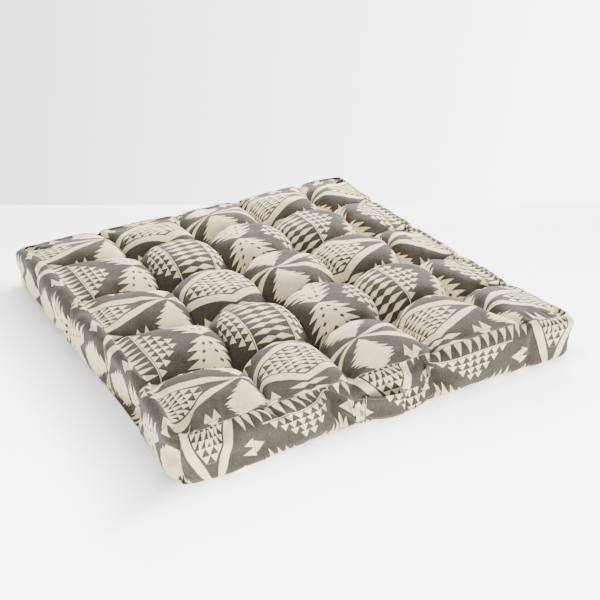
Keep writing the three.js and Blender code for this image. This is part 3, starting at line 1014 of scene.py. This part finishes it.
add_seam("seam_top", panel_rim(top_points, 0.3 * MM), (0, 0, 0.3 * MM))
add_seam("seam_bottom", panel_rim(low_points, 0.3 * MM), (0, 0, -0.3 * MM))
for side, corner in (("front", "front_right"), ("right", "back_right"),
                     ("back", "back_left"), ("left", "front_left")):
    upright = border_points[side][-1]
    away = upright.mean(axis=0) * (1, 1, 0)
    away /= np.linalg.norm(away)
    add_seam(f"seam_corner_{corner}", upright + 0.3 * MM * away, 0.3 * MM * away)

# ---- 8. Strap handle -------------------------------------
# A folded strip of the cover cloth, top-stitched along both edges. Its two ends are sewn flat
# to the front border and tacked with thread, and the rest stands away to take a hand.
strap_low, strap_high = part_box("handle_strap")
STRAP_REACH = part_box("handle_end_right")[1].x  # from the middle to a sewn end's far edge
LOOP_REACH = strap_high.x
STRAP_BOTTOM, STRAP_TOP = strap_low.z, strap_high.z
STRAP_HALF = 1.6 * MM  # half the thickness
STRAP_STEPS = 120
ACROSS_STRAP = np.array([-1, -0.99, -0.96, -0.9, -0.82, -0.74, -0.5, -0.2,
                         0.2, 0.5, 0.74, 0.82, 0.9, 0.96, 0.99, 1])
STITCH_LINES = (4, 11)  # which of those places carry the top-stitching
BOW = 18 * MM  # how far the middle stands away from the border
DROOP = 5 * MM  # how much lower the right end is sewn
TOP_STITCH = 0.45 * MM  # radius of the thread
# How the pattern lies on the strap, in mm of cloth: what comes at its middle, how much shows
# from there to an edge, and how far off the left end's cloth is cut.
STRAP_PRINT = (72, REPEAT_ALONG / 2 - 22)
STRAP_PRINT_HALF = 22
LEFT_END_PRINT = (-48, -18)
front_cover = border_points["front"]


def border_face(x, z):
    """How far forward the front border's cloth lies at a place along it."""
    column = np.abs(front_cover[:, ROWS // 2, 0] - x).argmin()
    rows = front_cover[column]
    return float(np.interp(z, rows[:, 2], rows[:, 1]))


def strap_sheet():
    edge = ACROSS_STRAP
    stitch_line = edge[STITCH_LINES[1]]
    half = STRAP_HALF * (1 - abs(edge) ** 14) ** 0.5
    half *= 1 - 0.3 * np.exp(-(((abs(edge) - stitch_line) / 0.05) ** 2))
    width = np.concatenate([edge, edge[-2::-1]])
    thick = np.concatenate([half, -half[-2::-1]])
    along = np.linspace(-STRAP_REACH, STRAP_REACH, STRAP_STEPS + 1)
    ripple = wander(STRAP_STEPS + 1, 6, 21, 0.5 * MM)
    sag = wander(STRAP_STEPS + 1, 20, 22, 0.4 * MM)
    middle = np.zeros((len(along), len(width), 3))
    for i, x in enumerate(along):
        share = min(abs(x) / LOOP_REACH, 1)
        bow = BOW * (1 - share ** 3) ** 1.5
        for j, v in enumerate(width):
            z = (STRAP_BOTTOM + STRAP_TOP) / 2 + v * (STRAP_TOP - STRAP_BOTTOM) / 2
            z += sag[i] - 2 * MM * (1 - share ** 2) - DROOP * max(x / STRAP_REACH + 0.2, 0)
            foot = border_face(math.copysign(max(abs(x), LOOP_REACH), x), z)
            y = foot - STRAP_HALF - 0.6 * MM - bow * (0.94 + 0.08 * v)
            y -= ripple[i] * (v if share < 1 else 0)
            middle[i, j] = (x, y, z)
    forward = np.gradient(middle, axis=0)
    normal = np.stack([forward[..., 1], -forward[..., 0], 0 * forward[..., 0]], -1)
    normal /= np.linalg.norm(normal, axis=-1, keepdims=True)
    closing = np.ones(len(along))
    closing[[0, -1]] = 0.05
    closing[[1, -2]] = 0.8
    sheet = middle + normal * (closing[:, None] * thick[None, :])[..., None]
    cloth = np.stack(np.broadcast_arrays(
        (STRAP_PRINT[0] + STRAP_PRINT_HALF * width)[None, :],
        (along / MM)[:, None] + STRAP_PRINT[1]), -1) * MM
    cloth[along < -LOOP_REACH] += np.array(LEFT_END_PRINT) * MM
    return sheet, cloth, middle, normal


strap_points, strap_print, strap_middle, strap_normal = strap_sheet()
strap = add_sheet("strap", strap_points, strap_print)
strap_cloth = cloth_material("strap_cloth")
strap.data.materials.append(strap_cloth)
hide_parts("handle_strap", "handle_end_left", "handle_end_right")

stitch_parts = []
for j in STITCH_LINES:
    row = strap_middle[3:-3, j] + strap_normal[3:-3, j] * (0.72 * STRAP_HALF)
    stitch_parts += stitched(row, TOP_STITCH, (0, -0.35 * MM, 0))
strap_stitches = add_mesh("strap_stitches", *gathered(stitch_parts))
pale_thread = plain_material("tack_thread", 0.7, 0.15, (0.30, 0.24, 0.17))
strap_stitches.data.materials.append(pale_thread)
for piece in (strap, strap_stitches):
    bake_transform(piece)

TACK_THREADS = 13  # in each tack
TACK_THREAD = 0.5 * MM  # radius
TACK_REACH = 22 * MM  # from the strap's middle to the highest or lowest thread
for end, name in ((-1, "handle_tack_left"), (1, "handle_tack_right")):
    i = 8 if end < 0 else STRAP_STEPS - 8
    chance = np.random.default_rng(30 + end)
    parts = []
    for _ in range(TACK_THREADS):
        low_z = chance.uniform(-0.72, 0.2) if end < 0 else chance.uniform(0.1, 0.6)
        high_z = min(low_z + chance.uniform(0.4, 0.8), 0.93)
        x = strap_middle[i, 0, 0] + chance.uniform(-3.5, 3.5) * MM
        lean = chance.uniform(-2.5, 2.5) * MM
        t = np.linspace(0, 1, 7)
        z = (STRAP_TOP + STRAP_BOTTOM) / 2 + (low_z + (high_z - low_z) * t) * TACK_REACH
        y = [border_face(x, level) - 2 * STRAP_HALF - 1.2 * MM for level in z]
        y = np.array(y) - 0.7 * MM * np.sin(math.pi * t) + 0.9 * MM * (abs(2 * t - 1) ** 6)
        parts.append(tube(np.stack([x + lean * t, y, z], -1), TACK_THREAD))
    tack = add_mesh(name + "_threads", *gathered(parts))
    tack.data.materials.append(pale_thread)
    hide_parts(name)
    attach(tack, "cushion")

# ---- 9. The table, the light and the camera --------------
# The cushion lies on a plain white table with a pale wall behind it. A large soft light stands behind
# it to the right, and the room's white walls fill in the rest. Table and wall also glow with painted
# light. The table is brighter towards the camera and has a painted shadow of the cushion on its left.
# The wall is brighter to the right.
AZIMUTH, ELEVATION = math.radians(-30.53), math.radians(28.65)
AIM = Vector((65.24, 31.75, 0)) * MM
DISTANCE = 1966.95 * MM
LENS = 61.30  # mm, over a sensor 36 mm wide
to_camera = Vector((math.sin(AZIMUTH) * math.cos(ELEVATION),
                    -math.cos(AZIMUTH) * math.cos(ELEVATION), math.sin(ELEVATION)))
away = Vector((-math.sin(AZIMUTH), math.cos(AZIMUTH), 0))
across = Vector((math.cos(AZIMUTH), math.sin(AZIMUTH), 0))


def slab_of(name, middle, across_way, other_way, across_half, other_half, colour, painted_light):
    corners = [middle + across_way * a * across_half + other_way * b * other_half
               for a, b in ((-1, -1), (1, -1), (1, 1), (-1, 1))]
    slab = add_mesh(name, corners, [(0, 1, 2, 3)])
    material, tree, shader = new_material(name, 0.9, 0)
    shader.inputs["Base Color"].default_value = (*colour, 1)
    # the slab glows in its own colour with painted light, though it is no lamp
    shader.inputs["Emission Color"].default_value = (*colour, 1)
    where = tree.nodes.new("ShaderNodeTexCoord")
    x, y, _ = split_place(tree, where.outputs["Object"])
    strength = painted_light(x, y)
    tree.links.new(strength.socket, shader.inputs["Emission Strength"])
    slab.data.materials.append(material)


def table_painted_light(x, y):
    """Painted light: the table glows brighter towards the camera, and dims in a painted shadow of the
    cushion on its left.
    """
    near = (x * away.x + y * away.y) * -1.1 + 0.45
    # 0 close to the cushion and 1 beyond its painted shadow, which reaches 130 mm to the left, 60 mm
    # to the front and back, and 50 mm to the right
    open_floor = (abs(x) - 0.385) / 0.13
    open_floor = open_floor.most((abs(y) - 0.352) / 0.06).most((x - 0.36) / 0.05)
    shade = open_floor.make("SMOOTH_MIN", 1, 0.2).make("MAXIMUM", 0)
    return (near.make("MULTIPLY", 1, clamp=True) * 4.2 + 2.0) * (shade * 0.85 + 0.15)


def wall_painted_light(x, y):
    """Painted light: the wall glows brighter to the right."""
    return (x * across.x + y * across.y).make("MULTIPLY_ADD", 0.33, 0.5, clamp=True) * 4.2 + 1.6


TABLE_BACK = 0.462  # from the aim to the table's far edge
slab_of("table", AIM + away * (TABLE_BACK - 3), across, away, 6, 3, (0.86, 0.86, 0.865), table_painted_light)
slab_of("wall", AIM + away * 4, across, Vector((0, 0, 1)), 9, 5, (0.88, 0.885, 0.90), wall_painted_light)


def add_light(name, place, aim, size, power, colour):
    lamp = bpy.data.lights.new(name, "AREA")
    lamp.size = size
    lamp.energy = power
    lamp.color = colour
    light = add_object(name, lamp)
    light.location = place
    light.rotation_mode = "QUATERNION"
    light.rotation_quaternion = (Vector(place) - Vector(aim)).to_track_quat("Z", "Y")


add_light("key", (1.42, 1.15, 1.3), (0, 0, 0), 0.8, 135, (1.0, 0.97, 0.93))
add_light("fill", (-0.2, -2.4, 2.2), (0, 0, 0), 2.4, 25, (1, 1, 1))
add_light("wall_light", AIM + away * 2.2 + Vector((0, 0, 2.4)), AIM + away * 4, 2.5, 60, (1, 1, 1))
room = bpy.data.worlds.new("room")
room.use_nodes = True
room.node_tree.nodes["Background"].inputs["Color"].default_value = (0.93, 0.95, 1, 1)
room.node_tree.nodes["Background"].inputs["Strength"].default_value = 1.12
bpy.context.scene.world = room

camera = add_object("camera", bpy.data.cameras.new("camera"))
camera.data.lens = LENS
camera.data.sensor_width = 36
camera.location = AIM + to_camera * DISTANCE
camera.rotation_mode = "QUATERNION"
camera.rotation_quaternion = to_camera.to_track_quat("Z", "Y")
bpy.context.scene.camera = camera
